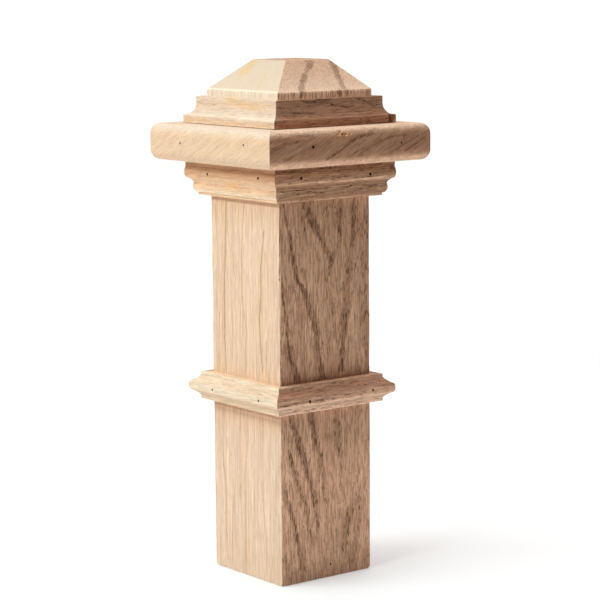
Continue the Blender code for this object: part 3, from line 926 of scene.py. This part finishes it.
def side_finishes(run, tilt, ring_width, pith_height, facing_tones_and_light, banding=0.6, pores=0.9):
    """A board's oak for each side of a run, sawn from four different places. The left board is quieter."""
    rng = random.Random(run)
    grain = Euler((0, math.radians(90 - tilt), 0)).to_matrix()
    finishes = {}
    for side, degrees in SIDES:
        to_side = Matrix.Rotation(math.radians(degrees), 3, "Z")
        pith = to_side @ Vector((rng.uniform(-0.02, 0.02), rng.uniform(0.01, 0.05), pith_height))
        turned = (to_side @ grain).to_euler()
        calm = 0.45 if side == "left" else 1.0
        name = f"{run}_{side}"
        finishes[side] = oak_finish(f"{name}_oak", pith, [math.degrees(angle) for angle in turned],
                                    facing_tones_and_light.get(side, ((0.97, 0.95, 0.93),) * 3),
                                    (rng.uniform(-12, 12), rng.uniform(-12, 12), 0),
                                    (rng.uniform(-6, 6), rng.uniform(-6, 6), 0),
                                    ring_width=ring_width, ring_start=rng.uniform(0, 40),
                                    banding=banding * calm, pores=pores * calm, streaks=pores * calm,
                                    stains=STAINS.get(name, ()), painted_light_and_tint=PAINTED_LIGHT_AND_TINT.get(name, ()))
        if name in LINES:
            draw_lines(finishes[side], side, LINES[name])
    return finishes


def draw_lines(material, side, lines):
    """Draws a board's own dark figure, seen on the front or the left of it."""
    tree = material.node_tree
    point = point_and_normal(tree)[0]
    parts = point.parts()
    heights = [height for width, strong, *points in lines for place, height in points]
    middle = (min(heights) + max(heights)) / 2
    sway = figure(tree, point, (260, 260, 500)) * 2.4 - (1.2 + middle)
    along = parts[0 if side == "front" else 1] * 1000.0 + LINE_START
    # A board's lines run along it, so the way along stands for the height
    moved = [(width, strong, *((place + LINE_START, height - middle) for place, height in points))
             for width, strong, *points in lines]
    drawn = figure_lines(tree, parts[2] * 1000.0 + sway, along, plain_lines(moved))
    wire(tree, drawn, tree.nodes["grain"].inputs["Figure"])


# Tones of the boards that show, their own with painted light and shade: upright faces, faces that look up,
# faces that look down
BAND_TONE_AND_PAINTED_LIGHT = {"front": ((1.05, 0.96, 0.95), (0.82, 0.64, 0.57), (1.42, 1.44, 1.50)),
              "left": ((1.03, 1.22, 1.28), (1.10, 1.22, 1.24), (1.03, 1.22, 1.28))}
BED_TONE_AND_PAINTED_LIGHT = {"front": ((0.88, 0.82, 0.76), (0.68, 0.58, 0.50), (0.80, 0.67, 0.58)),
             "left": ((0.95, 0.84, 0.70), (0.86, 0.78, 0.74), (1.15, 1.28, 1.30))}
COLLAR_TONE_AND_PAINTED_LIGHT = {"front": ((0.73, 0.61, 0.55), (1.27, 1.32, 1.35), (1.50, 1.48, 1.50)),
                "left": ((1.05, 1.10, 1.08), (0.98, 1.12, 1.24), (1.0, 1.03, 1.0))}
COVE_TONE_AND_PAINTED_LIGHT = {"front": ((0.82, 0.72, 0.67), (0.52, 0.40, 0.33), (0.82, 0.72, 0.67)),
              "left": ((1.08, 1.24, 1.36), (0.95, 1.03, 1.07), (1.08, 1.24, 1.36))}

# Painted light and shade up the sections of the boards that show, with some of their own tint: height in
# millimetres, light, warmth
PAINTED_LIGHT_AND_TINT = {
    "band_front": ((136, 1.40, -0.13), (138, 1.58, -0.13), (139.6, 0.80, -0.02), (142, 0.83, -0.03),
                   (145, 1.20, -0.03), (147.5, 1.02, 0.02), (151, 0.98, -0.06), (155, 1.15, -0.02),
                   (157.2, 0.88, 0.02), (157.8, 1.45, -0.17)),
    "band_left": ((136, 1.08, 0.08), (138, 0.90, 0.06), (140, 1.12, 0.04), (144, 1.09, 0.02), (150, 1, -0.04),
                  (153, 0.90, -0.04), (156, 1.17, 0), (157.8, 1.10, -0.05)),
    "bed_front": ((299.3, 1.65, -0.10), (300.6, 1.34, -0.03), (301.8, 0.84, 0.06), (306.5, 1.15, 0.01),
                  (308.5, 1.50, -0.04), (310, 0.68, 0.07), (311.6, 0.80, 0.03), (313.8, 1.58, -0.12),
                  (315.2, 1.03, 0.03), (320, 0.86, 0.05), (321.5, 1.00, 0.04), (322.5, 0.58, 0.20),
                  (326.9, 0.72, 0.18)),
    "bed_left": ((299.3, 1.16, -0.17), (301.7, 1.26, -0.08), (305.5, 1.20, -0.18), (310.4, 1.07, 0.05),
                 (312.6, 1.14, 0.08), (316, 0.92, -0.01), (320, 1.10, 0), (321.5, 1.20, -0.03),
                 (322.6, 0.93, -0.02), (326.9, 1.20, -0.07)),
    "collar_front": ((327, 0.87, -0.01), (328.4, 0.88, 0), (330.4, 1.27, -0.02), (335, 1.12, 0.02),
                     (340, 0.93, 0.02), (350, 1.00, 0.04), (354.6, 0.90, -0.04), (355.6, 0.74, -0.03)),
    "collar_left": ((327, 1.40, -0.04), (328.2, 1.18, -0.02), (330, 1.02, -0.02), (344, 1.01, 0.02),
                    (348, 1.04, 0.01), (352.6, 0.94, -0.07), (355.6, 0.85, -0.03)),
    "cove_front": ((356, 0.98, 0.11), (359.3, 0.88, 0.13), (361, 1.02, 0.05), (362.4, 0.86, 0.06),
                   (364, 1.14, 0.01), (366, 0.92, 0.05), (371, 0.98, 0), (375.4, 0.84, 0.06),
                   (376.6, 1.05, -0.02)),
    "cove_left": ((356, 1.05, 0.06), (359.5, 0.97, 0.08), (361.8, 1.10, -0.09), (364, 0.89, -0.11),
                  (368, 0.95, 0.02), (372.4, 1.05, 0.05), (376.6, 0.95, -0.04)),
}

# Dark figure seen on the boards: each line's width and strength, then its places along the board and its
# heights, in millimetres
LINES = {
    "collar_front": (
        (2.4, 0.8, (-24, 333), (-12, 338.5), (-1, 345), (6, 348), (20, 350.5)),
        (2.0, 0.6, (6, 334), (18, 340.5), (32, 345.5), (42, 347), (54, 347.5)),
        (1.6, 0.45, (-3, 334), (2, 336), (10, 339), (16, 341)),
        (2.0, 0.7, (38, 334.5), (47, 338.5), (54, 342), (65, 346)),
        (2.0, 0.7, (53, 335.5), (61, 339.5), (72, 344.5)),
        (1.6, 0.35, (29, 333), (45, 336)),
        (2.4, 0.5, (-65, 334.5), (-56, 336.5), (-43, 341.5), (-35, 344.5)),
        (2.2, 0.6, (-75, 343), (-67, 345.5), (-51, 347.5), (-46, 348)),
        (1.8, 0.6, (-76, 340.5), (-66, 344.5)),
        (1.8, 0.5, (-73, 347.5), (-55, 352), (-37, 351)),
    ),
    "bed_front": (
        (1.4, 0.9, (-57, 323.5), (-36, 323.5), (-22, 324), (-1, 324)),
        (1.2, 0.5, (-1, 324), (46, 324), (57, 323.5)),
        (1.2, 0.6, (3, 320.5), (13, 320.5), (22, 321), (41, 321), (57, 320)),
        (1.2, 0.6, (-1, 316.5), (17, 317), (28, 316.5), (47, 318), (56, 318)),
        (1.2, 0.4, (-33, 315.5), (-11, 315), (3, 316)),
        (1.2, 0.7, (-55, 308.5), (-41, 308), (-22, 309), (-13, 308.5), (-4, 309)),
        (1.2, 0.7, (-52, 303.5), (-22, 306.5), (-13, 305.5), (10, 307), (50, 307)),
        (1.2, 0.4, (-43, 303.5), (-30, 303), (-6, 303.5)),
        (1.2, 0.5, (13, 304.5), (34, 304.5), (44, 304.5)),
    ),
    "band_front": (
        (1.2, 0.6, (-55, 156.5), (-33, 156), (-20, 155)),
        (1.2, 0.5, (-55, 154), (-45, 153.5), (-33, 154.5), (-20, 153), (-10, 153)),
        (1.2, 0.5, (-38, 158), (-13, 157), (0, 156.5), (30, 154), (46, 152.5)),
        (1.2, 0.4, (-2, 153.5), (24, 152), (37, 151.5), (54, 150)),
        (1.6, 0.8, (-56, 145.5), (-35, 146), (-14, 145.5), (-2, 145.5)),
        (1.2, 0.5, (-20, 149), (5, 148), (17, 146.5), (29, 146.5)),
        (1.2, 0.5, (-52, 141), (-30, 141.5), (-20, 140), (-8, 140.5), (5, 139.5), (30, 139.5)),
        (1.2, 0.4, (-51, 138.5), (-25, 137.5), (-3, 137.5)),
    ),
    "band_left": (
        (1.2, 0.25, (-39, 154), (-28, 152.5), (-6, 154), (6, 155.5), (28, 156.5)),
        (1.2, 0.15, (8, 146), (20, 146), (44, 147)),
        (1.2, 0.15, (11, 154), (30, 155), (42, 154)),
    ),
    "cove_front": (
        (1.6, 0.8, (-28, 376), (-22, 374), (-18, 373.5), (-14, 375.5), (0, 376)),
        (1.6, 0.8, (-10, 373), (-3, 373), (4, 371), (15, 369), (21, 369.5)),
        (1.6, 0.7, (25, 376), (31, 374.5), (41, 369.5), (46, 369.5)),
        (1.4, 0.6, (-47, 368), (-38, 366.5), (-17, 366)),
        (1.4, 0.6, (25, 359), (33, 358), (50, 359.5)),
        (1.2, 0.5, (-54, 357.5), (-42, 358), (-28, 358), (4, 357.5)),
    ),
}

# Ochre patches of the boards, in millimetres: middle, reach each way, and strength
STAINS = {
    "cove_left": [((-53, 5, 375.5), (9, 13, 5), 1.0), ((-54, -10, 372.5), (9, 14, 4.2), 1.0),
                  ((-54, -24, 370.2), (9, 11, 3.6), 1.0), ((-53, -34, 374), (8, 10, 3), 0.6),
                  ((-58, 35, 359), (3, 11, 2.6), 1.0), ((-58, 52, 358.5), (3, 8, 3.2), 0.8),
                  ((-58, -3, 358), (3, 18, 2.2), 0.6), ((-58, -40, 357.5), (3, 16, 2), 0.6)],
    "cove_right": [((58, -58, 359), (9, 9, 9), 1.0)],
    "bed_left": [((-55, 0, 310), (8, 17, 4.2), 1.0), ((-56, -10, 313), (6, 12, 2.4), 0.5),
                 ((-56, 48, 310), (6, 8, 4), 0.5)],
    "collar_front": [((-8, -76, 351), (17, 6, 5), 0.45)],
    "cove_front": [((-15, -59, 359), (18, 4, 3), 0.35)],
}


def make_mouldings():
    """The band, the bed moulding, the collar and the cove."""
    make_run("band", band_section(), POST_HALF, BAND_FOOT, "moulding_oak", BAND_NOSE_REACH,
             side_finishes("band", 4, 3.0, 0.10, BAND_TONE_AND_PAINTED_LIGHT))
    make_run("bed", bed_section(), POST_HALF, BED_FOOT, "moulding_oak", BED_SWELL_REACH,
             side_finishes("bed", 3, 2.6, 0.27, BED_TONE_AND_PAINTED_LIGHT))
    make_run("collar", collar_section(), POST_HALF, COLLAR_FOOT, "collar_oak", COLLAR_REACH,
             side_finishes("collar", 28, 4.2, 0.30, COLLAR_TONE_AND_PAINTED_LIGHT, 0.25, 0.62))
    make_run("cove", cove_section(), HEAD_HALF, COVE_FOOT, "moulding_oak", COVE_FILLET_REACH,
             side_finishes("cove", 2, 2.8, 0.33, COVE_TONE_AND_PAINTED_LIGHT))


def make_floor():
    """A plain pale studio floor that glows faintly, so that it stays white far from the lamps."""
    bm = bmesh.new()
    bmesh.ops.create_circle(bm, cap_ends=True, segments=128, radius=1.05)
    bmesh.ops.translate(bm, vec=(0, 0, -0.0004), verts=bm.verts)
    material, tree, shader = new_material("pale_floor")
    for name, value in (("Base Color", (0.62, 0.62, 0.62, 1)), ("Emission Color", (1, 1, 1, 1)),
                        ("Emission Strength", 0.26), ("Roughness", 0.9), ("Specular IOR Level", 0.1)):
        shader.inputs[name].default_value = value
    floor = add_piece("floor", mesh_from(bm, "floor"), [material])


def soft_light(name, place, aim, width, height, power, colour=(1, 1, 1)):
    """A soft box that faces a point."""
    data = bpy.data.lights.new(name, "AREA")
    data.shape = "RECTANGLE"
    data.size = width
    data.size_y = height
    data.energy = power
    data.color = colour
    lamp = place_in_scene(name, data)
    lamp.location = place
    lamp.rotation_euler = (Vector(aim) - Vector(place)).to_track_quat("-Z", "Y").to_euler()


def make_light():
    """Soft boxes left and overhead, a low card in front, and a room that only the camera sees white."""
    soft_light("left_box", (-1.95, 0.40, 1.42), (0, 0, 0.2), 2.6, 0.45, 61, (0.86, 0.98, 1.0))
    soft_light("overhead_box", (0.1, 0.35, 2.4), (0, 0, 0), 2.6, 2.4, 82, (1.0, 0.975, 0.955))
    soft_light("bounce_card", (1.1, -1.0, 0.22), (0, 0, 0.2), 1.4, 0.5, 3.0, (1.0, 0.93, 0.87))
    world = bpy.data.worlds.new("studio")
    bpy.context.scene.world = world
    world.use_nodes = True
    tree = world.node_tree
    room = tree.nodes["Background"]
    room.inputs["Color"].default_value = (1.0, 0.91, 0.84, 1)
    room.inputs["Strength"].default_value = 0.06
    white = add_node(tree, "ShaderNodeBackground", {"Color": (1, 1, 1), "Strength": 1.05})
    mixed = add_node(tree, "ShaderNodeMixShader", {
        0: add_node(tree, "ShaderNodeLightPath").value("Is Camera Ray"), 1: Value(tree, room.outputs[0]),
        2: white.value()})
    wire(tree, mixed.value(), tree.nodes["World Output"].inputs["Surface"])


def make_camera():
    """The camera, a little below the head's height, looking slightly down at the left front corner."""
    azimuth, pitch, roll = -0.6585, 0.1445, -0.0084
    distance, aside, height = 1.73016, 0.00735, 0.467363
    level_ahead = Vector((-math.sin(azimuth), math.cos(azimuth), 0))
    right = Vector((math.cos(azimuth), math.sin(azimuth), 0))
    ahead = level_ahead * math.cos(pitch) - Vector((0, 0, math.sin(pitch)))
    up = right.cross(ahead)
    level_right = right * math.cos(roll) + up * math.sin(roll)
    level_up = -right * math.sin(roll) + up * math.cos(roll)
    data = bpy.data.cameras.new("camera")
    data.lens = 132.82
    data.sensor_width = 36.0
    data.sensor_fit = "HORIZONTAL"
    data.clip_start = 0.05
    data.clip_end = 100
    camera = place_in_scene("camera", data)
    turn = Matrix((level_right, level_up, -ahead)).transposed().to_4x4()
    camera.matrix_world = Matrix.Translation(
        -level_ahead * distance + right * aside + Vector((0, 0, height))) @ turn
    bpy.context.scene.camera = camera


make_post()
make_mouldings()
make_floor()
make_light()
make_camera()
bpy.context.scene.view_settings.view_transform = "Standard"
